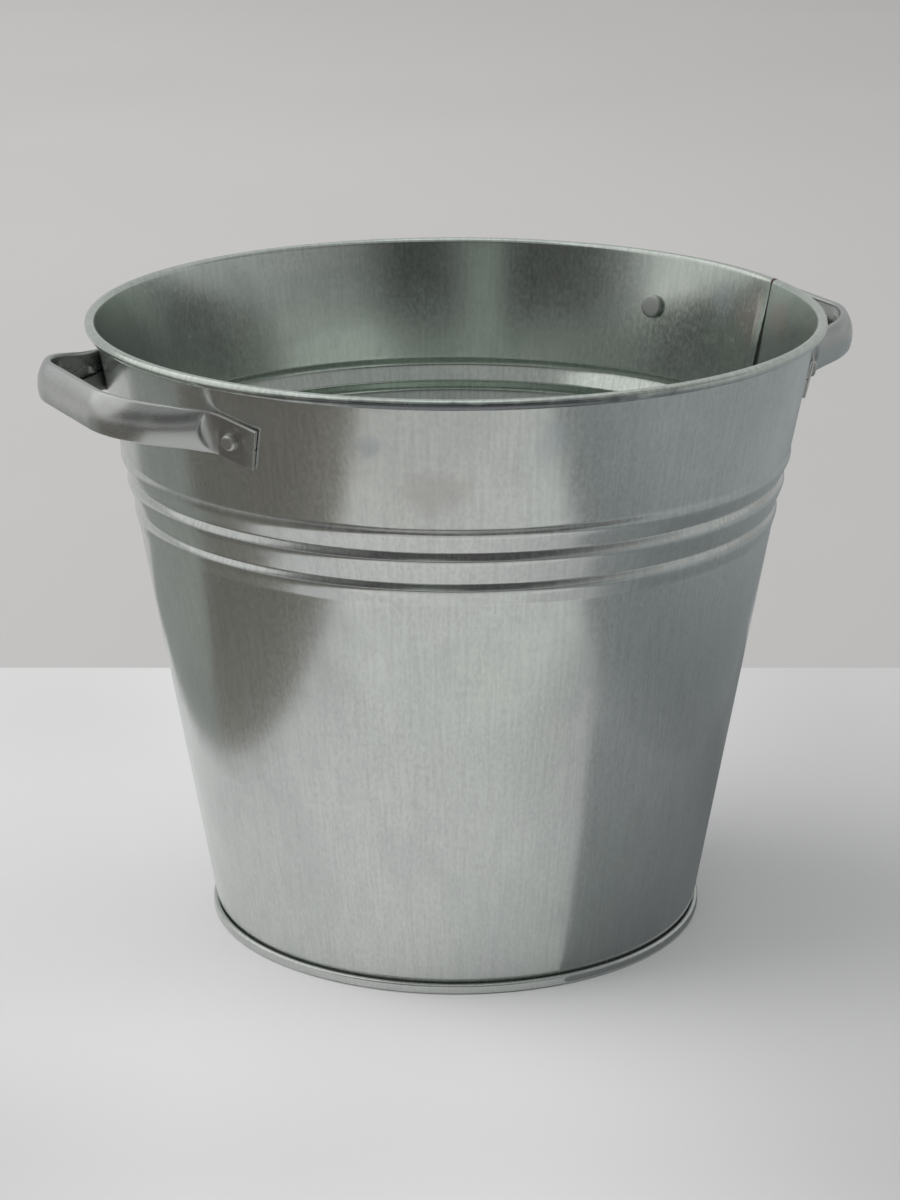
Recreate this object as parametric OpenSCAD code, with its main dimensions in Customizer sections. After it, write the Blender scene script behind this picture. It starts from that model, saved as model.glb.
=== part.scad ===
// Galvanised steel ice bucket: a tapered sheet-metal pail with a rolled rim, three rolled beads,
// a lock seam down the inside, a double-seamed bottom and two riveted strap handles.
// Millimetres, +Z up. The origin is the centre of the resting ring. The left handle lies on -X, and
// the right one near +X, a little off the left one's line.

/* [Bucket] */
// Diameter over the rolled rim
rim_d = 300; // [292:1:308]
// Height from the resting ring to the top of the rim
bucket_h = 256; // [250:1:264]
// Diameter over the base seam
base_d = 207; // [203:1:211]
// Diameter over the wall at the lowest crease of the beads
bead_low_d = 261.6; // [258:0.2:264]
// Diameter over the wall at the highest crease of the beads
bead_top_d = 273.8; // [271:0.2:276]
// Thickness of the bucket's sheet
sheet_t = 0.6; // [0.5:0.05:0.7]

/* [Rim] */
// Diameter of the rolled rim's curl
curl_d = 4.2; // [3.9:0.1:4.8]
// Angle that the sheet is rolled through
curl_sweep = 290; // [240:5:290]

/* [Beads] */
// Height of the highest crease
bead_top_z = 203.6; // [198:0.2:206]
// Height of the upper bead
bead_upper_w = 10; // [8:0.2:11]
// Height of the middle bead
bead_middle_w = 12.9; // [10:0.1:14]
// Height of the lower bead
bead_lower_w = 8.8; // [8:0.2:11]
// Depth of the two grooves between the beads, inside the wall's line
groove_in = 1.3; // [0.6:0.1:2]
// How far each bead's crest stands out of the wall's line
crest_out = 0.35; // [0:0.05:1]

/* [Lock seam] */
// Direction of the seam, from the right handle's middle
seam_az = -2.8; // [-12:0.2:12]
// Width of the folded band
seam_w = 7.5; // [5:0.5:10]
// Extra thickness of the folded layers
seam_t = 1.2; // [0.8:0.1:1.6]

/* [Base seam] */
// Height of the double seam
foot_h = 4.2; // [4:0.1:5.4]
// Gap between the seam's folded layers
fold_gap = 0.2; // [0.15:0.05:0.3]
// Height of the floor's upper face
floor_z = 6.2; // [5.6:0.1:6.8]

/* [Handles] */
// Height of the strap's face
strap_h = 16; // [14:0.5:18]
// Thickness of the strap's sheet
strap_t = 0.7; // [0.6:0.05:0.8]
// Bulge of the strap's outer face
strap_bulge = 1.5; // [0.5:0.1:2]
// Depth of the strap's channel, over the rolled edges
channel_d = 3; // [2.6:0.1:3.4]
// Width of each lip behind the strap
lip_w = 5; // [3.5:0.5:6]
// Reach of the grip from the bend at the wall
reach = 36; // [34:0.2:42]
// Half the distance between the two bends
bend_y = 56; // [54.5:0.5:57.5]
// Half the distance between the corners of the grip
corner_y = 41.4; // [38:0.2:43]
// Outer radius of the grip's corners
corner_r = 28; // [18:1:30]
// Upward tilt of the grip
grip_tilt = 9.5; // [4:0.5:12]
// Direction of the right handle, from the left one's line
right_az = -2.2; // [-3:0.2:0]

/* [Tabs] */
// Height of the riveted tab
tab_h = 17.4; // [16:0.2:18]
// Length of the tab on the bend's side of the rivet
tab_near = 9; // [8.4:0.2:9.6]
// Length of the tab beyond the rivet
tab_far = 10.6; // [9:0.2:13]
// Downward slope of the tab, away from the bend
tab_slope = 14.5; // [10:0.5:16]
// Tilt of the fold between the tab and the grip
fold_tilt = 16; // [8:1:20]

/* [Rivets] */
// Direction of each rivet, from the handle's middle
rivet_az = 26.2; // [25.8:0.1:26.6]
// Height of the rivets
rivet_z = 232.4; // [231:0.2:233.4]
// Shank diameter
shank_d = 4; // [3:0.5:4.5]
// Diameter of the outer head at its base
head_d = 7; // [6:0.5:8]
// Height of the outer head
head_h = 2.8; // [2:0.1:3.2]
// Diameter of the inner button
button_d = 10; // [8:0.5:11]
// Thickness of the inner button
button_t = 2.2; // [1.6:0.1:2.6]

/* [Hidden] */
$fn = 96;
fold_steps = 12;
bead_steps = 12;
overlap = 0.05;
strap_steps = 6;
zinc = [0.68, 0.70, 0.69];
zinc_light = [0.76, 0.77, 0.76];
zinc_dark = [0.60, 0.62, 0.62];

// Base seam: centre lines of its five layers, from the pan's outer skin inwards. The hooks stop
// short of the folds that they lie in, and the wall starts its cone just above the seam.
hook_short = 0.5;
pan_hook_short = 0.4;
neck_lift = 0.2;
neck_h = 1.6;
neck_step = 1.2;
floor_bend_r = 1.2;
layer = sheet_t + fold_gap;
skin_r = base_d / 2 - sheet_t / 2;
hook_r = skin_r - layer;
pan_hook_r = skin_r - 2 * layer;
foot_r = skin_r - 3 * layer;
chuck_r = skin_r - 4 * layer;
fold_top_z = foot_h - sheet_t / 2 - layer;
hook_fold_z = sheet_t + 2 * fold_gap + sheet_t / 2 + layer;
hook_end_z = fold_top_z - hook_short;
pan_hook_end_z = hook_fold_z + pan_hook_short;
neck_z = foot_h + neck_lift;

// Wall: a lower cone, the beads, and an upper cone that runs into the curl
bead_zs = [bead_top_z - bead_upper_w - bead_middle_w - bead_lower_w,
    bead_top_z - bead_upper_w - bead_middle_w, bead_top_z - bead_upper_w, bead_top_z];
groove_ins = [0, groove_in, groove_in, 0];
low_r = bead_low_d / 2 - sheet_t / 2;
top_r = bead_top_d / 2 - sheet_t / 2;
neck_r = foot_r + layer * neck_step;

// Curl: its centre, and the angle of the upper cone's tangent to it
curl_r = (curl_d - sheet_t) / 2;
curl_c = [rim_d / 2 - curl_d / 2, bucket_h - curl_d / 2];
to_curl = curl_c - [top_r, bead_top_z];
tangent_a = atan2(to_curl[1], to_curl[0]) + asin(curl_r / norm(to_curl));
lean = 90 - tangent_a;

// Lock seam: it ends above the base seam and below the curl
seam_low_z = 9;
seam_top_gap = 7;
seam_high_z = bucket_h - seam_top_gap;

// Rivets and tabs: clearances, edge radii, and the upper cone's outer radius at the rivets' height
seat_r = top_r + (rivet_z - bead_top_z) * tan(lean) + sheet_t / 2 / cos(lean);
tab_gap = 0.05;
tab_slot = 0.2;
tab_t = 2 * strap_t + tab_slot;
bore_gap = 0.05;
button_gap = 0.22;
edge_r = 0.9;
bore_l = 12;
head_cone_a = 30;

// Seat: the rivet's point on the wall, with its axes out of the wall, along the tab and up the tab
seat_n = [cos(rivet_az) * cos(lean), sin(rivet_az) * cos(lean), -sin(lean)];
seat_up = [cos(rivet_az) * sin(lean), sin(rivet_az) * sin(lean), cos(lean)];
seat_round = [-sin(rivet_az), cos(rivet_az), 0];
seat_along = seat_round * cos(tab_slope) - seat_up * sin(tab_slope);
seat_tall = seat_up * cos(tab_slope) + seat_round * sin(tab_slope);
seat_o = [seat_r * cos(rivet_az), seat_r * sin(rivet_az), rivet_z];

// Grip: the plane it lies in starts at the bends, and its outer line runs leg, corner, bar
bend_in = 16.7;
bend_lift = 1.8;
grip_o = [rim_d / 2 - bend_in, 0, rivet_z + bend_lift];
grip_out = [cos(grip_tilt), 0, sin(grip_tilt)];
grip_tall = [-sin(grip_tilt), 0, cos(grip_tilt)];
leg_vec = [reach, corner_y - bend_y];
leg_turn = 90 + atan2(leg_vec[1], leg_vec[0]);
corner_cut = corner_r * tan(leg_turn / 2);
corner_c = [reach - corner_r, corner_y - corner_cut];

function unit(v) = v / norm(v);
function left_of(v) = [-v[1], v[0]];
function arc(c, r, a0, a1, n) = [for (i = [0:n]) c + r * [cos(a0 + (a1 - a0) * i / n),
    sin(a0 + (a1 - a0) * i / n)]];

// Mitred normal at point i of an open line, so that a sheet drawn round it keeps its thickness
function mitre(p, i) =
    let (a = left_of(unit(i > 0 ? p[i] - p[i - 1] : p[1] - p[0])))
    let (b = left_of(unit(i < len(p) - 1 ? p[i + 1] - p[i] : p[i] - p[i - 1])))
    let (m = unit(a + b)) m / (m * b);
function side(p, d) = [for (i = [0:len(p) - 1]) p[i] + mitre(p, i) * d];
function reversed(p) = [for (i = [len(p) - 1:-1:0]) p[i]];

// Outline of a sheet that lies between two distances from a line, positive to its left
function strip(p, d0, d1) = concat(side(p, d0), reversed(side(p, d1)));

function wall_line(z) = low_r + (top_r - low_r) * (z - bead_zs[0]) / (bead_top_z - bead_zs[0]);
function crease(i) = [wall_line(bead_zs[i]) - groove_ins[i], bead_zs[i]];

// One bead: the straight line between two creases, bulged until its crest clears the wall's line
function bead(i) = let (a = crease(i), b = crease(i + 1))
    let (bulge = (groove_ins[i] + groove_ins[i + 1]) / 2 + crest_out)
    [for (k = [0:bead_steps - 1]) let (s = k / bead_steps) a + (b - a) * s + [4 * bulge * s * (1 - s), 0]];

bead_line = concat(bead(0), bead(1), bead(2), [crease(3)]);
neck_top = [neck_r, neck_z + neck_h];
low_slope = (low_r - neck_r) / (bead_zs[0] - neck_top[1]);

wall_path = concat(
    [[hook_r, hook_end_z]],
    arc([pan_hook_r, hook_fold_z], layer, 0, -180, fold_steps),
    [[foot_r, neck_z], neck_top],
    bead_line,
    arc(curl_c, curl_r, tangent_a + 90, tangent_a + 90 - curl_sweep, 3 * fold_steps));

seam_path = concat(
    [[neck_r + low_slope * (seam_low_z - neck_top[1]), seam_low_z]],
    bead_line,
    [[top_r + (seam_high_z - bead_top_z) * tan(lean), seam_high_z]]);

pan_path = concat(
    [[0, floor_z - sheet_t / 2]],
    arc([chuck_r - floor_bend_r, floor_z - sheet_t / 2 - floor_bend_r], floor_bend_r, 90, 0, fold_steps),
    arc([foot_r, sheet_t / 2 + layer], layer, 180, 270, fold_steps),
    arc([hook_r, sheet_t / 2 + layer], layer, 270, 360, fold_steps),
    arc([hook_r, fold_top_z], layer, 0, 180, fold_steps),
    [[pan_hook_r, pan_hook_end_z]]);

function mix(a, b, k) = a + (b - a) * k;

// Strap section: a bulged face, two rolled edges and two lips, drawn outward and up.
// k runs from 0, pressed flat into a two-layer tab, to 1, the open channel of the grip.
function strap_section(k) =
    let (half = mix(tab_h, strap_h, k) / 2, depth = mix(tab_t, channel_d, k))
    let (lip_q = half - mix(half - tab_slot, lip_w, k), bulge = strap_bulge * k)
    let (roll = (depth - strap_t) / 2, face_q = half - strap_t / 2 - roll)
    let (roll_p = -strap_t / 2 - roll)
    strip(concat(
        [[roll_p - roll, lip_q]],
        arc([roll_p, face_q], roll, 180, 0, strap_steps),
        [for (i = [1:strap_steps - 1]) let (t = 1 - 2 * i / strap_steps)
            [-strap_t / 2 + bulge * (1 - t * t), face_q * t]],
        arc([roll_p, -face_q], roll, 0, -180, strap_steps),
        [[roll_p - roll, -lip_q]]), -strap_t / 2, strap_t / 2);

// Places along the strap, each an origin on its outer line, its outward axis, its tall axis and k
function on_tab(y, tall, k) = [seat_o + seat_n * (tab_gap + tab_t) + seat_along * y, seat_n, tall, k];
function in_grip(v) = grip_out * v[0] + [0, v[1], 0];
function on_leg(d, tall, k) = let (u = unit(leg_vec))
    [grip_o + in_grip([0, bend_y] + u * d), in_grip([-u[1], u[0]]), tall, k];
function on_corner(a) = let (u = [cos(a), sin(a)])
    [grip_o + in_grip(corner_c + u * corner_r), in_grip(u), grip_tall, 1];

fold_tall = unit(seat_tall - seat_along * tan(fold_tilt));
fold_k = 0.1;
fold_out = 0.5;
leg_full = norm(leg_vec) - corner_cut;
leg_ks = [0.25, 0.5, 0.75];
half_places = concat(
    [on_tab(tab_far, seat_tall, 0), on_tab(0, seat_tall, 0), on_tab(-tab_near / 2, seat_tall, 0)],
    [let (f = on_tab(-tab_near, fold_tall, fold_k), g = on_leg(0, fold_tall, fold_k))
        [f[0] + seat_n * fold_out, unit(f[1] + g[1]), fold_tall, fold_k]],
    [for (k = leg_ks) on_leg(leg_full * k, unit(mix(fold_tall, grip_tall, k)), k)],
    [for (i = [0:strap_steps]) on_corner(leg_turn * (1 - i / strap_steps))]);

function mirrored(v) = [v[0], -v[1], v[2]];
function placed(f) = [for (c = strap_section(f[3])) f[0] + f[1] * c[0] + f[2] * c[1]];
strap_rings = concat(
    [for (f = half_places) placed(f)],
    [for (f = reversed(half_places)) [for (v = placed(f)) mirrored(v)]]);

module on_right() {
    rotate([0, 0, right_az]) children();
}

module on_left() {
    rotate([0, 0, 180]) children();
}

// Places a child at one rivet of a handle that lies on +X: x out of the wall, y round it, z up it
module at_seat(s) {
    rotate([0, 0, s * rivet_az])
        translate([seat_r, 0, rivet_z])
            rotate([0, lean, 0])
                rotate([-s * tab_slope, 0, 0]) children();
}

module seat_bore(s) {
    at_seat(s) rotate([0, 90, 0]) cylinder(h = bore_l, d = shank_d + 2 * bore_gap, center = true);
}

module seat_bores() {
    seat_bore(1);
    seat_bore(-1);
}

module lock_seam() {
    intersection() {
        rotate_extrude() polygon(strip(seam_path, sheet_t / 2 - overlap, sheet_t / 2 + seam_t));
        rotate([0, 0, seam_az]) translate([0, -seam_w / 2, 0]) cube([rim_d, seam_w, bucket_h]);
    }
}

// Wall: one rolled sheet, hooked under at the foot, beaded, seamed and curled at the rim
module body_wall() {
    color(zinc) difference() {
        union() {
            rotate_extrude() polygon(strip(wall_path, -sheet_t / 2, sheet_t / 2));
            lock_seam();
        }
        on_right() seat_bores();
        on_left() seat_bores();
    }
}

// Bottom: a flat disc whose edge is folded round the wall's hook
module base_pan() {
    color(zinc_dark) rotate_extrude() polygon(strip(pan_path, -sheet_t / 2, sheet_t / 2));
}

// Strap: one closed skin through all its sections, from tab to tab
module strap() {
    n = len(strap_rings[0]);
    m = len(strap_rings);
    polyhedron(
        points = [for (r = strap_rings) each r],
        faces = concat(
            [[for (j = [0:n - 1]) j]],
            [for (i = [0:m - 2], j = [0:n - 1]) [i * n + j, i * n + (j + 1) % n, (i + 1) * n + (j + 1) % n]],
            [for (i = [0:m - 2], j = [0:n - 1]) [i * n + j, (i + 1) * n + (j + 1) % n, (i + 1) * n + j]],
            [[for (j = [n - 1:-1:0]) (m - 1) * n + j]]));
}

module handle() {
    color(zinc_light) difference() {
        strap();
        seat_bores();
    }
}

// Rivet profile, along its axis out of the wall: inner button, shank and domed outer head
module rivet_profile() {
    button_z = -sheet_t - button_gap;
    seat_z = tab_gap + tab_t;
    dome_r = head_d / 4;
    polygon(concat(
        [[0, button_z - button_t]],
        arc([button_d / 2 - edge_r, button_z - button_t + edge_r], edge_r, -90, 0, fold_steps),
        [[button_d / 2, button_z], [shank_d / 2, button_z], [shank_d / 2, seat_z], [head_d / 2, seat_z]],
        arc([dome_r, seat_z + head_h - edge_r], edge_r, head_cone_a, 90, fold_steps),
        [[0, seat_z + head_h]]));
}

module rivet(s) {
    color(zinc_light) at_seat(s) rotate([0, 90, 0]) rotate_extrude() rivet_profile();
}

module handle_right() {
    on_right() handle();
}

module handle_left() {
    on_left() handle();
}

module rivet_right_front() {
    on_right() rivet(-1);
}

module rivet_right_back() {
    on_right() rivet(1);
}

module rivet_left_front() {
    on_left() rivet(1);
}

module rivet_left_back() {
    on_left() rivet(-1);
}

body_wall();
base_pan();
handle_right();
handle_left();
rivet_right_front();
rivet_right_back();
rivet_left_front();
rivet_left_back();
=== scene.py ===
"""Galvanised ice bucket: detailed sheet-metal pieces over the CAD frame, in metres, with a plain studio."""

import math

import bpy
import numpy as np
from mathutils import Matrix, Vector


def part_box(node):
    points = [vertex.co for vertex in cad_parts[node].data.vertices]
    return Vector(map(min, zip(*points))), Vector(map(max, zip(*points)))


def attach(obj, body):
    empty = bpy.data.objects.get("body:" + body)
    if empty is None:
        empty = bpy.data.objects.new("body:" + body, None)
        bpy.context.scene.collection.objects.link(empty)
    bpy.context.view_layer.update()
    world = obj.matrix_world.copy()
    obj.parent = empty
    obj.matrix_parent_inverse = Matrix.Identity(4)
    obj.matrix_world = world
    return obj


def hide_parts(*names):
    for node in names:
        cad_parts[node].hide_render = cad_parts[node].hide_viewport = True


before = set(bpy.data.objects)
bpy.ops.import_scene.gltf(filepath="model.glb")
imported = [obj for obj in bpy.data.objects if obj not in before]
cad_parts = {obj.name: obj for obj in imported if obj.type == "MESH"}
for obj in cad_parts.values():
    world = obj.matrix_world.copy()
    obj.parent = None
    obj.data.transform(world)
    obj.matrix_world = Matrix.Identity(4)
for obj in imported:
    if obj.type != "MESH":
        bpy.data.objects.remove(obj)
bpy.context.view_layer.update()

MM = 0.001
TURN = math.radians(-28)  # the studio's own axes, turned to the row's

# Sizes in millimetres. The overall ones come from the frame.
wall_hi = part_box("body_wall")[1] / MM
rim_r, bucket_h = wall_hi.y, wall_hi.z
base_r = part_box("base_pan")[1].y / MM
sheet_t = 0.6
curl_d = 4.2
curl_sweep = 290
bead_zs = [171.9, 180.7, 193.6, 203.6]
groove_ins = [0.35, 1.3, 1.3, 0]  # how far the grooves between the beads lie inside the wall's own line
flank_hs = [3.05, 3.6, 3.1]  # height of each bead's upper flank, which narrows upwards by flank_ins
flank_ins = [1.0, 1.2, 0.32]
crest_k = 3.0  # how sharp the beads' crests are
low_r = 130.8 - sheet_t / 2
top_r = 136.9 - sheet_t / 2
fold_gap = 0.2
layer = sheet_t + fold_gap
foot_h = 4.2
neck_h = 1.8
neck_out = 1.2 * layer
floor_z = 6.2
floor_bend_r = 1.2
seam_az = -2.8
seam_half = 3.75  # half its width
seam_t = 1.2  # how far it stands inside the sheet
seam_z = (9, 249)
seam_top_fade = 22
gap_at = -seam_half - 0.15  # the gap along the seam's free edge
gap_half = 0.16
gap_depth = 0.35
outer_line_depth = 0.14
wall_wave = 0.02  # the wall's slow unevenness, which grows and fades over these heights
wave_foot = (8, 40)
wave_top = (236, 248)
curl_steps = 44
inner_v = 500  # places on the sheet's inner face are numbered from here, so its grain is its own


def smoothstep(x, lo, hi):
    t = np.clip((x - lo) / (hi - lo), 0, 1)
    return t * t * (3 - 2 * t)


def polar(a):
    return np.array([math.cos(math.radians(a)), math.sin(math.radians(a))])


def arc(centre, radius, a0, a1, steps):
    return [np.array(centre) + radius * polar(a) for a in np.linspace(a0, a1, steps + 1)]


def unit(v):
    return np.asarray(v, float) / np.linalg.norm(v)


def thicken(line, t):
    """Closed outline of a sheet round a line, and each of its points' side of the line: 1 left, -1 right."""
    line = np.array(line)
    step = np.diff(line, axis=0)
    step /= np.linalg.norm(step, axis=1)[:, None]
    tangent = np.vstack([step[:1], step[:-1] + step[1:], step[-1:]])
    tangent /= np.linalg.norm(tangent, axis=1)[:, None]
    left = np.stack([-tangent[:, 1], tangent[:, 0]], axis=1)
    outline = np.vstack([line - left * t / 2, (line + left * t / 2)[::-1]])
    return outline, np.repeat([-1, 1], len(line))


def mesh_object(name, points, faces, uvs, sharp=38):
    """Mesh from points in millimetres, with one UV per face corner, in metres of sheet."""
    mesh = bpy.data.meshes.new(name)
    mesh.from_pydata((np.asarray(points) * MM).tolist(), [], faces)
    layer_uv = mesh.uv_layers.new(name="sheet")
    layer_uv.data.foreach_set("uv", np.asarray(uvs, np.float32).ravel())
    mesh.polygons.foreach_set("use_smooth", [True] * len(mesh.polygons))
    mesh.set_sharp_from_angle(angle=math.radians(sharp))
    mesh.update()
    obj = bpy.data.objects.new(name, mesh)
    bpy.context.scene.collection.objects.link(obj)
    return obj


def grid_faces(rows, columns):
    """Faces and their (row, column) corners, for a grid whose last column meets its first."""
    i, j = np.meshgrid(np.arange(rows - 1), np.arange(columns), indexing="ij")
    i, j = i.ravel(), j.ravel()
    corners = np.stack([np.stack([i, j], 1), np.stack([i, j + 1], 1),
                        np.stack([i + 1, j + 1], 1), np.stack([i + 1, j], 1)], 1)
    index = corners[..., 0] * columns + corners[..., 1] % columns
    return index.tolist(), corners


def lengths(line):
    """Distance along a line at each of its points."""
    return np.concatenate([[0], np.cumsum(np.linalg.norm(np.diff(line, axis=0), axis=1))])


# ---------------------------------------------------------------- wall and bottom

def groove_r(k):
    """Radius of the wall's middle in groove k, below, between and above the beads."""
    rise = (bead_zs[k] - bead_zs[0]) / (bead_zs[3] - bead_zs[0])
    return low_r + (top_r - low_r) * rise - groove_ins[k]


def wall_r(z):
    """Radius of the wall's middle at height z: lower cone, three beads, upper cone."""
    neck = foot_r + neck_out
    low = neck + (groove_r(0) - neck) * (z - neck_top_z) / (bead_zs[0] - neck_top_z)
    high = top_r + (z - bead_zs[3]) * math.tan(math.radians(lean))
    r = np.where(z < bead_zs[0], low, high)
    for i, (flank_h, flank_in) in enumerate(zip(flank_hs, flank_ins)):
        z0, z1 = bead_zs[i], bead_zs[i + 1]
        r0, r1 = groove_r(i), groove_r(i + 1)
        up = r1 + flank_in / flank_h * (z1 - z)
        crest = z1 - flank_h
        out = r0 + (r1 + flank_in - r0) * (z - z0) / (crest - z0)
        rounded = -np.logaddexp(-crest_k * up, -crest_k * out) / crest_k
        r = np.where((z >= z0) & (z <= z1), rounded, r)
    return r


def soft_wall_r(z):
    """wall_r with its creases rounded, by a weighted mean of the heights close by."""
    spread = 0.2
    taps = np.linspace(-2, 2, 9)
    weights = np.exp(-taps**2 / 2)
    return sum(w * wall_r(z + k * spread) for k, w in zip(taps, weights)) / weights.sum()


skin_r = base_r - sheet_t / 2
foot_r = skin_r - 3 * layer
hook_r = skin_r - layer
fold_top_z = foot_h - sheet_t / 2 - layer
hook_fold_z = sheet_t * 1.5 + 2 * fold_gap + layer
neck_top_z = foot_h + neck_h
curl_r = (curl_d - sheet_t) / 2
curl_c = np.array([rim_r - curl_d / 2, bucket_h - curl_d / 2])
to_curl = curl_c - [top_r, bead_zs[3]]
tangent_a = math.degrees(math.atan2(to_curl[1], to_curl[0]) + math.asin(curl_r / np.linalg.norm(to_curl)))
lean = 90 - tangent_a  # of the upper cone, from the vertical
curl_from = tangent_a + 90  # the angle at which the upper cone runs into the curl
curl_start = curl_c + curl_r * polar(curl_from)

bead_margin = 1.5
bead_step = 0.42
wall_zs = np.concatenate([
    np.linspace(neck_top_z + 0.8, bead_zs[0] - bead_margin, 36)[:-1],
    np.arange(bead_zs[0] - bead_margin, bead_zs[3] + bead_margin, bead_step),
    np.linspace(bead_zs[3] + bead_margin, curl_start[1] - 0.6, 16)])
wall_line = ([[hook_r, fold_top_z - 0.5]]
             + arc([skin_r - 2 * layer, hook_fold_z], layer, 0, -180, 12)
             + [[foot_r, foot_h + 0.2], [foot_r + 0.5 * layer, foot_h + 0.8]]
             + list(np.stack([soft_wall_r(wall_zs), wall_zs], 1))
             + arc(curl_c, curl_r, curl_from, curl_from - curl_sweep, curl_steps))
floor_mid_z = floor_z - sheet_t / 2
floor_bend_c = [skin_r - 4 * layer - floor_bend_r, floor_mid_z - floor_bend_r]
pan_line = ([[r, floor_mid_z] for r in np.linspace(0.01, floor_bend_c[0] - 0.6, 30)]
            + arc(floor_bend_c, floor_bend_r, 90, 0, 10)
            + arc([foot_r, sheet_t / 2 + layer], layer, 180, 270, 10)
            + arc([hook_r, sheet_t / 2 + layer], layer, 270, 360, 10)
            + arc([hook_r, fold_top_z], layer, 0, 180, 16)
            + [[skin_r - 2 * layer, hook_fold_z + 0.4]])

# Grid lines round the bucket, in degrees from the seam's middle. They stand a degree apart, and closer by the
# seam, where near_seam gives them in millimetres at ref_r.
ref_r = 130
near_seam = [-4.7, -4.25, -4.05, -3.9, -3.78, -3.7, -3.5, -3.1, -2, 0, 2, 2.7, 3.1, 3.5, 3.9, 4.4, 5.2, 6.5]
to_deg = math.degrees(1 / ref_r)
turns = np.sort(np.concatenate([np.array(near_seam) * to_deg, np.arange(4, 357, 1.0)]) % 360)


def spread_round(r, seamed):
    """Degrees from the seam to every grid line at radius r. The seam keeps its width in millimetres."""
    offset = (turns + 180) % 360 - 180
    if not seamed:
        return offset
    a = np.abs(offset)
    kept, free = 3.0, 12.0  # within kept degrees the widths hold, and beyond free degrees the angles do
    wide = kept * ref_r / r
    between = wide + (a - kept) * (free - wide) / (free - kept)
    a = np.where(a <= kept, a * ref_r / r, np.where(a <= free, between, a))
    return np.sign(offset) * a


def waves(az, z):
    """Slow unevenness of rolled sheet, between about -1 and 1."""
    t = np.radians(az)
    parts = [(3, 0.021, 0.6, 0.5), (7, -0.034, 2.1, 0.3), (11, 0.052, 4.0, 0.2), (2, 0.061, 0, 0.25)]
    return sum(share * np.sin(count * t + rise * z + start) for count, rise, start, share in parts)


def seam_shift(off, z, inner, outer):
    """How far the lock seam moves the faces inward, off from its middle. inner and outer mark the faces."""
    free_edge = smoothstep(off, -seam_half - 0.06, -seam_half + 0.1)
    folded_edge = 1 - smoothstep(off, seam_half - 1.1, seam_half + 0.8)
    foot = smoothstep(z, seam_z[0] - 1, seam_z[0] + 1)
    top = 1 - smoothstep(z, seam_z[1] - seam_top_fade, seam_z[1])
    gap = np.exp(-((off - gap_at) / gap_half) ** 2) * smoothstep(z, 12, 14)
    band = free_edge * folded_edge * foot * top
    return inner * (band * seam_t - gap * gap_depth) + outer * gap * outer_line_depth


def lathe(name, line, seamed=False):
    """Sheet turned round the Z axis. A seamed one has the lock seam and the wall's slow waves."""
    outline, side = thicken(line, sheet_t)
    v = lengths(line)
    v = np.concatenate([v, v[::-1] + inner_v])
    az = seam_az + np.array([spread_round(p[0], seamed) for p in outline])
    r = np.repeat(outline[:, :1], az.shape[1], 1)
    z = np.repeat(outline[:, 1:], az.shape[1], 1)
    if seamed:
        off = np.radians(az - seam_az) * r
        inner = (side[:, None] > 0) & (r < curl_c[0]) & (z > foot_h)
        r = r - seam_shift(off, z, inner, side[:, None] < 0)
        fade = smoothstep(z, *wave_foot) * (1 - smoothstep(z, *wave_top))
        r = r - (1 + waves(az, z)) * wall_wave * fade
    a = np.radians(az)
    points = np.stack([r * np.cos(a), r * np.sin(a), z], -1)
    rows, columns = r.shape
    points = np.vstack([points, points[:1]])  # the outline closes on itself
    faces, corners = grid_faces(rows + 1, columns)
    u = np.concatenate([turns, [turns[0] + 360]]) / to_deg
    v = np.concatenate([v, v[:1]])
    uvs = np.stack([u[corners[..., 1]], v[corners[..., 0]]], -1) * MM
    faces = (np.array(faces) % (rows * columns)).tolist()
    return mesh_object(name, points[:-1].reshape(-1, 3), faces, uvs)


# ---------------------------------------------------------------- handles and rivets

rivet_az = 26.2  # to each side of the handle's middle
rivet_z = 232.4
tab_h = 17.4
tab_near = 9  # from the rivet to the fold, where the strap leaves the wall
tab_far = 10.6  # from the rivet to the tab's end
tab_slope = 14.5
fold_tilt = 16
strap_h = 16
strap_t = 0.7
strap_bulge = 1.5
channel_d = 3
lip_w = 5
reach = 36  # from grip_o out to the bar
bend_y = 56  # the leg runs from here, beside grip_o,
corner_y = 41.4  # to here, where it would meet the bar without the round corner
corner_r = 28
grip_tilt = 9.5
sides = {"right": -2.2, "left": 180}  # direction of each handle
tab_gap = 0.05  # from the wall to the tab
tab_slot = 0.2  # between the tab's two layers
tab_t = 2 * strap_t + tab_slot
button_gap = 0.22  # from the wall to the rivet's inner button
fold_soft = 3.2  # how far the fold's bend spreads along the strap
corner_steps = 24
corner_run = 0.98  # run of the strap's surface pattern for each step of the corner

# A tab's seat on the wall, with its own axes, and the grip's plane, for a handle that points along X
rad = math.radians
seat_r = top_r + (rivet_z - bead_zs[3]) * math.tan(rad(lean)) + sheet_t / 2 / math.cos(rad(lean))
cos_az, sin_az = polar(rivet_az)
cos_lean, sin_lean = polar(lean)
cos_slope, sin_slope = polar(tab_slope)
cos_tilt, sin_tilt = polar(grip_tilt)
seat_n = np.array([cos_az * cos_lean, sin_az * cos_lean, -sin_lean])
seat_up = np.array([cos_az * sin_lean, sin_az * sin_lean, cos_lean])
seat_round = np.array([-sin_az, cos_az, 0])
seat_along = seat_round * cos_slope - seat_up * sin_slope
seat_tall = seat_up * cos_slope + seat_round * sin_slope
seat_o = np.array([seat_r * cos_az, seat_r * sin_az, rivet_z])
grip_o = np.array([rim_r - 16.7, 0, rivet_z + 1.8])
grip_out = np.array([cos_tilt, 0, sin_tilt])
grip_tall = np.array([-sin_tilt, 0, cos_tilt])
leg_vec = np.array([reach, corner_y - bend_y])
leg_dir = unit(leg_vec)
leg_turn = 90 + math.degrees(math.atan2(leg_vec[1], leg_vec[0]))
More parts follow.
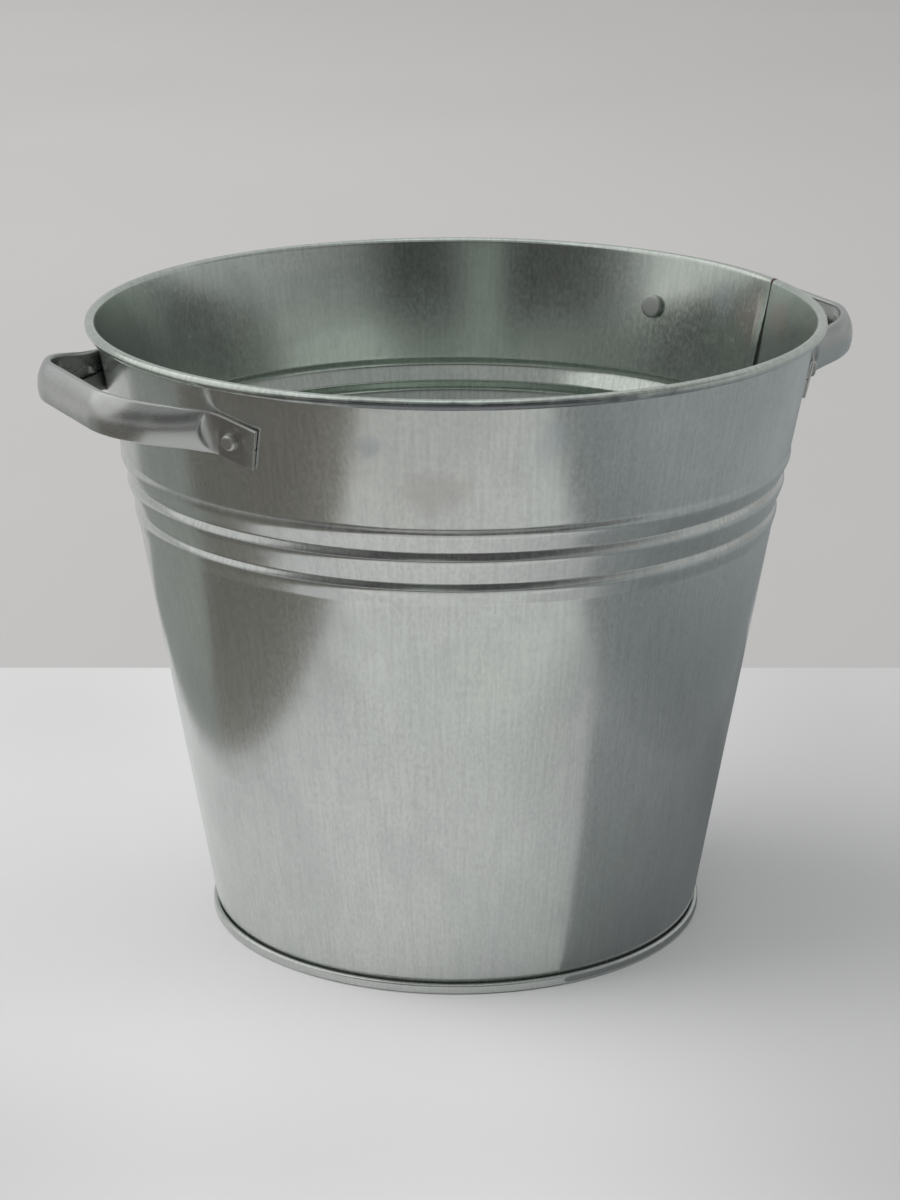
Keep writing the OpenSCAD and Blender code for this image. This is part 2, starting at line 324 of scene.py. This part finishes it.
corner_cut = corner_r * math.tan(rad(leg_turn / 2))
corner_c = np.array([reach - corner_r, corner_y - corner_cut])
leg_full = np.linalg.norm(leg_vec) - corner_cut
fold_tall = unit(seat_tall - seat_along * math.tan(rad(fold_tilt)))


def in_grip(v):
    """A vector of the grip's plane, outward and sideways, in the row's axes."""
    return grip_out * v[0] + np.array([0, v[1], 0])


def section(k, bulge):
    """Middle line of the strap's section, outward and up, and half the height of its bulged face.

    k runs from a flat two-layer tab, 0, to the open channel, 1.
    """
    half = (tab_h + (strap_h - tab_h) * k) / 2
    depth = tab_t + (channel_d - tab_t) * k
    lip_q = half - ((half - tab_slot) * (1 - k) + lip_w * k)
    roll = (depth - strap_t) / 2
    face_q = half - strap_t / 2 - roll
    roll_p = -strap_t / 2 - roll
    a = 0.0
    for _ in range(12):  # the angle at which the roll runs into the bulged face
        a = math.atan(2 * (bulge + roll * (1 - math.cos(a))) / (face_q + roll * math.sin(a)))
    q1 = face_q + roll * math.sin(a)
    top = -strap_t / 2 + bulge
    curve = math.tan(a) / (2 * q1)
    lips = np.linspace(lip_q, face_q, 5)[:-1]
    back = roll_p - roll
    line = [[back, q] for q in lips]
    line += arc([roll_p, face_q], roll, 180, math.degrees(a), 10)
    line += [[top - curve * q * q, q] for q in np.linspace(q1, -q1, 28)[1:-1]]
    line += arc([roll_p, -face_q], roll, -math.degrees(a), -180, 10)
    line += [[back, -q] for q in lips[::-1]]
    return np.array(line), q1


def tab_point(d):
    """A point of the strap's outer line on the tab, d from the bend, which is negative there."""
    return seat_o + seat_n * (tab_gap + tab_t) - seat_along * (tab_near + d)


def leg_point(d):
    """A point of the strap's outer line on the leg, d from the bend."""
    start = tab_point(0) + seat_n * 0.5
    first = leg_full / 4
    if d < first:
        return start + (grip_o + in_grip([0, bend_y] + leg_dir * first) - start) * d / first
    return grip_o + in_grip([0, bend_y] + leg_dir * d)


def tall_axis(d):
    """Direction of the strap's height, d from the bend: the tab's, the fold's, then slowly the grip's."""
    folded = seat_tall + (fold_tall - seat_tall) * smoothstep(d, -tab_near / 2 - 1, 0)
    return unit(folded + (grip_tall - fold_tall) * max(d, 0) / leg_full)


def strap_places():
    """Origin, outward axis, tall axis and distance from the fold, for each section of half a strap."""
    leg_n = in_grip([-leg_dir[1], leg_dir[0]])
    places = []
    for d in np.linspace(-tab_near - tab_far, -fold_soft, 24):
        places.append((tab_point(d), seat_n, tall_axis(d), d))
    a, b, c = tab_point(-fold_soft), tab_point(0) + seat_n * 0.35, leg_point(fold_soft)
    for t in np.linspace(0, 1, 15)[1:]:
        d = -fold_soft + 2 * fold_soft * t
        origin = a * (1 - t) ** 2 + b * 2 * t * (1 - t) + c * t * t
        places.append((origin, unit(seat_n * (1 - t) + leg_n * t), tall_axis(d), d))
    for d in np.linspace(fold_soft, leg_full, 26)[1:]:
        places.append((leg_point(d), leg_n, tall_axis(d), d))
    for i in range(1, corner_steps + 1):
        w = polar(leg_turn * (1 - i / corner_steps))
        origin = grip_o + in_grip(corner_c + w * corner_r)
        places.append((origin, in_grip(w), grip_tall, leg_full + i * corner_run))
    corner_end, out, tall, run = places[-1]
    for y in np.linspace(corner_end[1], 0, 9)[1:]:
        places.append((np.array([corner_end[0], y, corner_end[2]]), out, tall, run + corner_end[1] - y))
    return places


def openness(d):
    """How far the strap has opened from the flat tab, 0, to the channel, 1, at a distance from the fold."""
    fold_from, parted = -1.5, 0.1
    if d <= fold_from:
        return parted * float(smoothstep(d, -6, fold_from))
    opened = parted + (1 - parted) * float(smoothstep(d, -1, 13))
    if d <= 0:
        return opened
    return min(opened, parted + 0.35 + (1 - parted) * d / leg_full)


def turned(points, degrees):
    """Points turned about the Z axis."""
    c, s = polar(degrees)
    return np.asarray(points) @ np.array([[c, s, 0], [-s, c, 0], [0, 0, 1]])


def strap(name, direction):
    """One handle. Its bulge starts on a curved front, which is furthest along the strap in the middle."""
    ring_r, ring_half, ring_depth = 5.4, 1.3, 0.32
    rings, run = [], []
    for origin, out, tall, d in strap_places():
        flat = section(openness(d), 0.0)[0]
        full, edge = section(openness(d), strap_bulge)
        q = full[:, 1] / edge
        start = 0.3 + 3.4 * np.clip(1 - q * q, 0, 1)
        w = smoothstep(d, start, start + 2.4)[:, None]
        outline = thicken(flat * (1 - w) + full * w, strap_t)[0]
        p, t = outline[:, 0], outline[:, 1]
        if d < 0:  # the rivet draws a shallow ring into the tab's outer layer
            ring = np.exp(-((np.hypot(d + tab_near, t) - ring_r) / ring_half) ** 2)
            p = p - ring_depth * ring * (p > -strap_t - tab_slot)
        rings.append(origin + p[:, None] * out + t[:, None] * tall)
        run.append(d)
    flipped = [np.array(r) * [1, -1, 1] for r in rings[-2::-1]]
    rings = np.array(rings + flipped)
    run = np.array(run + [2 * run[-1] - d for d in run[-2::-1]])
    rings = turned(rings, direction)
    rows, columns = rings.shape[:2]
    faces, corners = grid_faces(rows, columns)
    across = lengths(np.vstack([outline, outline[:1]]))
    uvs = np.stack([across[corners[..., 1]], run[corners[..., 0]]], -1).reshape(-1, 2) * MM
    ends = [list(range(columns)), [(rows - 1) * columns + j for j in range(columns - 1, -1, -1)]]
    cap_uvs = np.vstack([np.stack([outline[:, 1] + 40, outline[:, 0]], -1) * MM] * 2)
    return mesh_object(name, rings.reshape(-1, 3), faces + ends, np.vstack([uvs, cap_uvs]), sharp=45)


def rivet(name, side, direction):
    """Rivet along its axis out of the wall: inner button, shank, and a peened head with a flat top.

    side is 1 or -1, for the tab on each side of the handle's middle.
    """
    seat = tab_gap + tab_t
    low = -sheet_t - button_gap
    button_top = low - 2.35
    shank_r = 2.0
    axis_r = 0.001  # the outline stops this far from the axis
    count = 64
    button = [[axis_r, button_top]] + [[r, button_top + 0.05 * (r / 3.6) ** 4] for r in (1, 2, 3)]
    button += arc([4.1, low - 1.4], 0.9, -84, 0, 10) + arc([4.75, low - 0.3], 0.25, 0, 90, 4)
    shank = [[2.2, low], [shank_r, low + 0.02], [shank_r, seat - 0.02], [2.2, seat]]
    head = arc([3.3, seat + 0.2], 0.2, -90, 20, 5) + arc([1.95, seat + 1.4], 1.35, 8, 80, 12)
    head += [[1.6, seat + 2.72], [1.0, seat + 2.66], [0.5, seat + 2.62], [axis_r, seat + 2.6]]
    line = np.array(button + shank + head)
    a = np.linspace(0, 2 * np.pi, count, endpoint=False)
    r = line[:, :1] * (1 + 0.012 * np.sin(2 * a + side) * (line[:, 1:] > seat))
    local = np.stack([np.repeat(line[:, 1:], count, 1), r * np.cos(a), r * np.sin(a)], -1)
    flip = np.array([1, side, 1])
    points = (seat_o * flip + local[..., :1] * (seat_n * flip) + local[..., 1:2] * (seat_along * flip)
              + local[..., 2:] * (seat_tall * flip))
    points = turned(points, direction)
    faces, corners = grid_faces(len(line), count)
    if side < 0:
        faces = [f[::-1] for f in faces]
        corners = corners[:, ::-1]
    v = lengths(line)
    uvs = np.stack([corners[..., 1] * 0.35, v[corners[..., 0]]], -1) * MM
    return mesh_object(name, points.reshape(-1, 3), faces, uvs, sharp=50)


# ---------------------------------------------------------------- zinc

def node(tree, kind, inputs=None, **settings):
    """A new node. inputs are values, or sockets to link from, by the input's name or number."""
    made = tree.nodes.new(kind)
    for key, value in settings.items():
        setattr(made, key, value)
    for key, value in (inputs or {}).items():
        if isinstance(value, bpy.types.NodeSocket):
            tree.links.new(value, made.inputs[key])
        else:
            made.inputs[key].default_value = value
    return made


def value_of(tree, operation, *inputs):
    return node(tree, "ShaderNodeMath", dict(enumerate(inputs)), operation=operation).outputs[0]


def noise(tree, where, scale, detail=2.0, rough=0.5, warp=0.0):
    inputs = {"Vector": where, "Scale": scale, "Detail": detail, "Roughness": rough, "Distortion": warp}
    return node(tree, "ShaderNodeTexNoise", inputs).outputs["Fac"]


def ramp(tree, value, low, high, out_low=0.0, out_high=1.0):
    """out_low at low, out_high at high, and a smooth step between them."""
    inputs = {"Value": value, "From Min": low, "From Max": high, "To Min": out_low, "To Max": out_high}
    return node(tree, "ShaderNodeMapRange", inputs, interpolation_type="SMOOTHSTEP").outputs["Result"]


def scaled(tree, where, size):
    return node(tree, "ShaderNodeVectorMath", {0: where, 1: size}, operation="MULTIPLY").outputs["Vector"]


def blend(tree, factor, a, b, mode="MIX"):
    """Mix of two colours, each a socket or three numbers. The node has them at inputs 6 and 7, output 2."""
    a, b = [colour if isinstance(colour, bpy.types.NodeSocket) else (*colour, 1) for colour in (a, b)]
    made = node(tree, "ShaderNodeMix", {0: factor, 6: a, 7: b}, data_type="RGBA", blend_type=mode)
    return made.outputs[2]


def oval(tree, split, wobble, u, v, wide, tall):
    """Distance from a spot of the sheet at u, v, in half widths and half heights, with an uneven edge."""
    x = value_of(tree, "DIVIDE", value_of(tree, "SUBTRACT", split.outputs[0], u * MM), wide * MM)
    y = value_of(tree, "DIVIDE", value_of(tree, "SUBTRACT", split.outputs[1], v * MM), tall * MM)
    squares = value_of(tree, "ADD", value_of(tree, "MULTIPLY", x, x), value_of(tree, "MULTIPLY", y, y))
    return value_of(tree, "ADD", value_of(tree, "SQRT", squares), wobble)


swell_depth = 0.03 * MM
grain_depth = 0.003 * MM


def bump(tree, height, strength, depth, **under):
    """Normal of a bumpy surface. under may give the Normal that the bumps stand on."""
    inputs = {"Height": height, "Strength": strength, "Distance": depth, **under}
    return node(tree, "ShaderNodeBump", inputs).outputs["Normal"]


def zinc(name, light, dark, rough, grain=1.0, marks=()):
    """Galvanised steel. marks: u, v, half width, half height, strength, colour and added roughness."""
    material = bpy.data.materials.new(name)
    material.use_nodes = True
    tree = material.node_tree
    tree.nodes.clear()
    where = node(tree, "ShaderNodeUVMap", uv_map="sheet").outputs["UV"]
    speck = noise(tree, scaled(tree, where, (1, 0.5, 1)), 750, 3, 0.75)
    streak = noise(tree, scaled(tree, where, (1, 0.06, 1)), 600, 3, 0.6)
    mottle = noise(tree, where, 110, 4, 0.65, 0.5)
    cloud = noise(tree, where, 16, 4, 0.6, 0.6)
    tint = noise(tree, scaled(tree, where, (1, 0.6, 1)), 9, 3, 0.5, 0.4)
    hair = noise(tree, scaled(tree, where, (0.02, 1, 1)), 800, 2, 0.5, 0.3)
    colour = blend(tree, ramp(tree, cloud, 0.3, 0.72), dark, light)
    colour = blend(tree, ramp(tree, tint, 0.45, 0.75, 0, 0.5), colour, (0.60, 0.665, 0.615))
    colour = blend(tree, ramp(tree, tint, 0.5, 0.25, 0, 0.4), colour, (0.66, 0.64, 0.62))
    speck_part = value_of(tree, "MULTIPLY", speck, 0.6)
    texture = value_of(tree, "ADD", speck_part, value_of(tree, "MULTIPLY", streak, 0.4))
    colour = blend(tree, ramp(tree, texture, 0.36, 0.62, 0.42 * grain, 0), colour, (0.40, 0.42, 0.41))
    colour = blend(tree, ramp(tree, mottle, 0.5, 0.72, 0, 0.25 * grain), colour, (0.50, 0.52, 0.51))
    colour = blend(tree, ramp(tree, hair, 0.7, 0.78, 0, 0.14), colour, (0.85, 0.86, 0.84))
    roughness = ramp(tree, cloud, 0.25, 0.75, rough + 0.045, rough - 0.02)
    roughness = value_of(tree, "ADD", roughness, ramp(tree, mottle, 0.45, 0.75, -0.01, 0.04))
    roughness = value_of(tree, "ADD", roughness, ramp(tree, speck, 0.4, 0.65, -0.015 * grain, 0.025 * grain))
    split = node(tree, "ShaderNodeSeparateXYZ", {"Vector": where})
    inner_side = ramp(tree, split.outputs[1], 0.9 * inner_v * MM, inner_v * MM)
    colour = blend(tree, inner_side, colour, (0.955, 1.0, 0.965), mode="MULTIPLY")
    if marks:
        uneven = noise(tree, where, 90, 3, 0.6)
        wobble = value_of(tree, "MULTIPLY", value_of(tree, "SUBTRACT", uneven, 0.5), 1.6)
        for *place, strength, mark, dull in marks:
            spot = ramp(tree, oval(tree, split, wobble, *place), 1.25, 0.45, 0, strength)
            colour = blend(tree, spot, colour, mark)
            roughness = value_of(tree, "ADD", roughness, value_of(tree, "MULTIPLY", spot, dull))
    swell = bump(tree, noise(tree, where, 30, 1, 0.4), 1.0, swell_depth)
    fine = bump(tree, texture, 0.5 * grain, grain_depth, Normal=swell)
    inputs = {"Base Color": colour, "Metallic": 0.92, "Roughness": roughness, "Normal": fine}
    shader = node(tree, "ShaderNodeBsdfPrincipled", inputs)
    node(tree, "ShaderNodeOutputMaterial", {"Surface": shader.outputs["BSDF"]})
    return material


def sheet_u(studio_az):
    """Place round the wall's sheet, in millimetres, of a direction in the studio's axes."""
    return (studio_az + math.degrees(TURN) - seam_az) % 360 / to_deg


def sheet_v(z):
    """Place up the outside of the wall's sheet, in millimetres, of a height."""
    first = len(wall_line) - len(wall_zs) - (curl_steps + 1)
    cone = slice(first, first + len(wall_zs))
    return float(np.interp(z, np.array(wall_line)[cone, 1], lengths(wall_line)[cone]))


def inside_v(z):
    """Place up the inside of the wall's sheet, in millimetres, of a height."""
    return inner_v + sheet_v(z)


def curl_v(angle):
    """Place on the rim's curl, on the face that shows, at an angle round it from outward to up."""
    start = lengths(wall_line)[-(curl_steps + 1)]
    return inner_v + float(start + curl_r * math.radians(curl_from - angle))


bluish = (0.47, 0.52, 0.55)
brownish = (0.50, 0.485, 0.47)
green = (0.52, 0.63, 0.53)
earth = (0.62, 0.50, 0.45)
rust = (0.13, 0.075, 0.045)
shade = (0.05, 0.05, 0.045)
# colour of a painted reflection: the dark band on the rim's front
painted_rim_reflection = (0.13, 0.14, 0.15)
gap_u = 360 / to_deg + gap_at
wall_marks = [
    # smudges on the outside, above the beads
    (sheet_u(-102.7), sheet_v(236), 5, 5, 0.5, bluish, 0.1),
    (sheet_u(-93.4), sheet_v(219), 12, 9, 0.55, brownish, 0.1),
    (sheet_u(-75.6), sheet_v(238), 6, 10, 0.4, bluish, 0.05),
    # stains inside, by the seam
    (sheet_u(26), inside_v(238), 16, 14, 0.5, earth, 0.08),
    (sheet_u(33), inside_v(226), 14, 12, 0.25, green, 0.06),
    (sheet_u(18), inside_v(242), 9, 7, 0.45, earth, 0.06),
    (sheet_u(10), inside_v(225), 10, 22, 0.35, bluish, 0.08),
    (sheet_u(36), inside_v(240), 7, 9, 0.4, bluish, 0.1),
    # the rim's front painted darker, a painted reflection of something dark in front; the seam's gap; and the
    # rust where it meets the rim
    (sheet_u(-90), curl_v(-18), 75, 1.9, 0.85, painted_rim_reflection, 0.05),
    (gap_u, inside_v(215), 0.5, 150, 0.92, shade, 0.3),
    (gap_u, curl_v(100), 1.3, 2.4, 0.9, rust, 0.35),
]
wall_zinc = zinc("zinc_wall", (0.70, 0.72, 0.695), (0.62, 0.645, 0.625), 0.18, marks=wall_marks)
pan_zinc = zinc("zinc_bottom", (0.68, 0.70, 0.68), (0.58, 0.60, 0.585), 0.22)
strap_run = 2 * strap_places()[-1][3]
strap_tabs = (-tab_near, strap_run + tab_near)
# the tabs are painted darker than the rest of the strap
strap_marks = [(40, v, 300, 9, 0.75, (0.36, 0.345, 0.33), 0.0) for v in strap_tabs]
strap_zinc = zinc("zinc_strap", (0.58, 0.60, 0.585), (0.46, 0.48, 0.47), 0.27, grain=0.45, marks=strap_marks)
rivet_marks = [(11, 3, 90, 7, 0.8, (0.40, 0.42, 0.40), 0.06)]  # the inner button
rivet_zinc = zinc("zinc_rivet", (0.62, 0.62, 0.585), (0.48, 0.48, 0.455), 0.34, marks=rivet_marks)


def finish(obj, node_name, material):
    """Gives a piece its material, hangs it under the root body and hides the CAD part that it stands for."""
    obj.data.materials.append(material)
    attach(obj, "root")
    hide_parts(node_name)


finish(lathe("bucket_wall", wall_line, seamed=True), "body_wall", wall_zinc)
finish(lathe("bottom_pan", pan_line), "base_pan", pan_zinc)
for word, direction in sides.items():
    finish(strap(f"strap_{word}", direction), f"handle_{word}", strap_zinc)
    for end, side in (("front", -1), ("back", 1)):
        facing = side if word == "right" else -side
        peened = rivet(f"rivet_{word}_{end}_peened", facing, direction)
        finish(peened, f"rivet_{word}_{end}", rivet_zinc)

# ---------------------------------------------------------------- studio

studio = Matrix.Rotation(TURN, 4, "Z")


def flat_material(name, colour, rough, shine, uneven, scale, falls=()):
    """Slightly uneven paint or cloth. falls are changes of tone: axis, start, end, and the tone at each."""
    material = bpy.data.materials.new(name)
    material.use_nodes = True
    tree = material.node_tree
    tree.nodes.clear()
    where = node(tree, "ShaderNodeTexCoord").outputs["Object"]
    tone = ramp(tree, noise(tree, where, scale, 3, 0.55), 0.3, 0.7, 1 - uneven, 1 + uneven)
    split = node(tree, "ShaderNodeSeparateXYZ", {"Vector": where})
    for axis, start, end, tone_start, tone_end in falls:
        fall = ramp(tree, split.outputs[axis], start, end, tone_start, tone_end)
        tone = value_of(tree, "MULTIPLY", tone, fall)
    toned = node(tree, "ShaderNodeVectorMath", {0: colour, "Scale": tone}, operation="SCALE")
    inputs = {"Base Color": toned.outputs["Vector"], "Roughness": rough, "Specular IOR Level": shine}
    shader = node(tree, "ShaderNodeBsdfPrincipled", inputs)
    node(tree, "ShaderNodeOutputMaterial", {"Surface": shader.outputs["BSDF"]})
    return material


def sheet(name, corners, z, material):
    """Level sheet of the studio, in the studio's own axes."""
    mesh = bpy.data.meshes.new(name)
    mesh.from_pydata([(x, y, z) for x, y in corners], [], [tuple(range(len(corners)))])
    obj = bpy.data.objects.new(name, mesh)
    obj.matrix_world = studio
    obj.data.materials.append(material)
    bpy.context.scene.collection.objects.link(obj)
    return obj


def oblong(x0, x1, y0, y1):
    """Corners of a rectangle, in metres."""
    return [(x0, y0), (x1, y0), (x1, y1), (x0, y1)]


def reflected_only(obj):
    """A studio flag: it darkens what the metal mirrors, and nothing else."""
    obj.visible_camera = False
    obj.visible_diffuse = False
    obj.visible_shadow = False


x_axis, y_axis = 0, 1
floor_end = 0.298  # where the floor meets the backdrop, behind the bucket
# Painted light and shade: the floor darker to the right, towards the back and towards the front, and the
# backdrop darker to the right and towards the floor
floor_painted_light = [(x_axis, -0.21, -0.08, 0.97, 1.09), (x_axis, 0.0, 0.2, 1.0, 0.74),
               (y_axis, 0.06, 0.25, 1.0, 0.91), (y_axis, -0.26, -0.12, 0.84, 1.0)]
backdrop_painted_light = [(x_axis, -0.7, 0.7, 1.04, 0.86), (y_axis, 0.2, 2.0, 0.78, 0.86)]
floor_paint = flat_material("floor_paint", (0.69, 0.686, 0.692), 0.6, 0.0, 0.015, 3, floor_painted_light)
backdrop_paint = flat_material("backdrop_paint", (0.63, 0.62, 0.613), 0.9, 0.0, 0.02, 1, backdrop_painted_light)
sheet("floor", oblong(-30, 30, -30, floor_end), 0, floor_paint)
sheet("backdrop", oblong(-30, 30, floor_end, 30), 0, backdrop_paint)

# Flags: outline, height, colour and falls. The pale front one shows in the middle of the bucket's wall.
side_x = 0.232
far_x = 1.6
far_y = -0.68
flag_z = 0.001
far_flag_z = 0.002
flags = {
    "flag_front": (oblong(-side_x, side_x, far_y, -0.26), flag_z, (0.72, 0.72, 0.71),
                   [(y_axis, -0.46, -0.26, 0.74, 0.97)]),
    "flag_left": (oblong(-far_x, -side_x, -1.6, 0.02), flag_z, (0.12, 0.112, 0.10),
                  [(x_axis, -0.36, -0.25, 1.0, 1.5)]),
    "flag_left_back": (oblong(-far_x, -side_x, 0.02, 0.36), flag_z, (0.23, 0.243, 0.23), []),
    "flag_right": (oblong(side_x, far_x, -1.6, 0.9), flag_z, (0.315, 0.335, 0.345),
                   [(x_axis, 0.28, 0.5, 0.7, 1.0)]),
    # flag_shadow is a painted shadow: a dark sheet where the bucket's shadow lies on the floor, seen only in
    # the metal, darker towards the back
    "flag_shadow": ([(0.045, -0.095), (0.26, -0.235), (0.26, 0.3), (0, 0.3)], flag_z, (0.29, 0.305, 0.315),
                    [(y_axis, -0.02, 0.12, 1.0, 0.62)]),
    "flag_far": (oblong(-far_x, far_x, -1.6, far_y), far_flag_z, (0.05, 0.05, 0.05), []),
}
for word, (corners, height, colour, falls) in flags.items():
    cloth = flat_material(f"{word}_cloth", colour, 0.9, 0.1, 0.05, 5, falls)
    reflected_only(sheet(word, corners, height, cloth))

world = bpy.data.worlds.new("studio")
bpy.context.scene.world = world
world.use_nodes = True
sky = world.node_tree
sky.nodes.clear()
toward = node(sky, "ShaderNodeTexCoord").outputs["Generated"]
up = node(sky, "ShaderNodeSeparateXYZ", {"Vector": toward}).outputs[2]


def along(axis):
    """How far the sky's direction points along one of the studio's axes, from -1 to 1."""
    inputs = {0: toward, 1: studio.to_3x3() @ Vector(axis)}
    return node(sky, "ShaderNodeVectorMath", inputs, operation="DOT_PRODUCT").outputs["Value"]


def sky_tones(value, stops):
    """Nearly grey sky. stops are place, level and, where it is greener, the green's share of the level."""
    tones = node(sky, "ShaderNodeValToRGB", {"Fac": value})
    while len(tones.color_ramp.elements) < len(stops):
        tones.color_ramp.elements.new(0.5)
    cool = 1.01
    for element, (at, level, *greener) in zip(tones.color_ramp.elements, stops):
        element.position = at
        element.color = (level, level * (greener[0] if greener else cool), level * cool, 1)
    return tones.outputs["Color"]


def round_tones(stops):
    """sky_tones round the horizon. stops start with a direction in degrees, 0 along the studio's X."""
    return sky_tones(round_room, [((az + 180) / 360, *tone) for az, *tone in stops])


# Round the horizon the room is darkest in front, with a pale doorway in it, and palest behind the bucket
deep = along((0, 1, 0))
bearing = value_of(sky, "ARCTAN2", deep, along((1, 0, 0)))
whole_turn = {"Value": bearing, "From Min": -math.pi, "From Max": math.pi}
round_room = node(sky, "ShaderNodeMapRange", whole_turn).outputs["Result"]
horizon = round_tones([
    (-180, 0.24), (-169, 0.28), (-154, 0.27), (-142, 0.1), (-135, 0.05), (-112, 0.04), (-108, 0.1),
    (-103, 0.25, 1.14), (-97, 0.24, 1.14), (-90, 0.12), (-84, 0.05), (-72, 0.04), (-66, 0.1), (-58, 0.21),
    (-50, 0.27), (-35, 0.34), (-20, 0.44), (4, 0.5), (155, 0.5), (166, 0.24)])
# Above it the front stays dark for a little way. Then comes the ceiling, which is brightest overhead.
shoulder = round_tones([
    (-180, 0.2), (-150, 0.2), (-126, 0.12), (-116, 0.04), (-58, 0.04), (-35, 0.17), (0, 0.26)])
ceiling = sky_tones(up, [(0.5, 0.34), (0.75, 0.34), (0.86, 0.26), (0.92, 0.54), (0.96, 0.56), (0.985, 1.0)])
front_high = blend(sky, ramp(sky, up, 0.36, 0.5), shoulder, ceiling)
back_high = sky_tones(up, [(0.0, 0.5), (0.5, 0.48), (0.9, 0.62), (0.96, 0.62), (0.985, 1.0)])
upper_room = blend(sky, ramp(sky, deep, -0.05, 0.4), front_high, back_high)
whole_room = blend(sky, ramp(sky, up, 0.2, 0.24), horizon, upper_room)
backing = node(sky, "ShaderNodeBackground", {"Color": whole_room, "Strength": 1.0})
node(sky, "ShaderNodeOutputWorld", {"Surface": backing.outputs["Background"]})


def lamp(name, kind, where, energy, colour, **settings):
    """Lamp at a place in the studio's axes, facing the bucket's middle."""
    target = (0, 0, 0.12)
    data = bpy.data.lights.new(name, kind)
    data.energy = energy
    data.color = colour
    for key, value in settings.items():
        setattr(data, key, value)
    obj = bpy.data.objects.new(name, data)
    place = studio @ Vector(where)
    obj.location = place
    obj.rotation_mode = "QUATERNION"
    obj.rotation_quaternion = (place - studio @ Vector(target)).to_track_quat("Z", "Y")
    bpy.context.scene.collection.objects.link(obj)
    return obj


window = (-1.5, 0.08, 1.2)
daylight = (1.0, 0.99, 0.975)
# The window is two suns, so that the metal mirrors only part of its light
lamp("window", "SUN", window, 0.6, daylight, angle=math.radians(75))
lamp("window_bounce", "SUN", window, 1.15, daylight, angle=math.radians(55)).visible_glossy = False
lamp("ceiling", "AREA", (0.2, -0.2, 3), 54, (0.98, 0.99, 1.0), size=4).visible_glossy = False

camera_data = bpy.data.cameras.new("camera")
camera_data.sensor_width = 36
camera_data.lens = 96.96
camera_data.clip_end = 100
camera = bpy.data.objects.new("camera", camera_data)
eye, aim = Vector((-0.6049, -1.1325, 0.5443)), Vector((-0.0021, 0.0011, 0.1324))
camera.location = eye
camera.rotation_mode = "QUATERNION"
camera.rotation_quaternion = (eye - aim).to_track_quat("Z", "Y")
bpy.context.scene.collection.objects.link(camera)
bpy.context.scene.camera = camera
bpy.context.scene.view_settings.view_transform = "Standard"
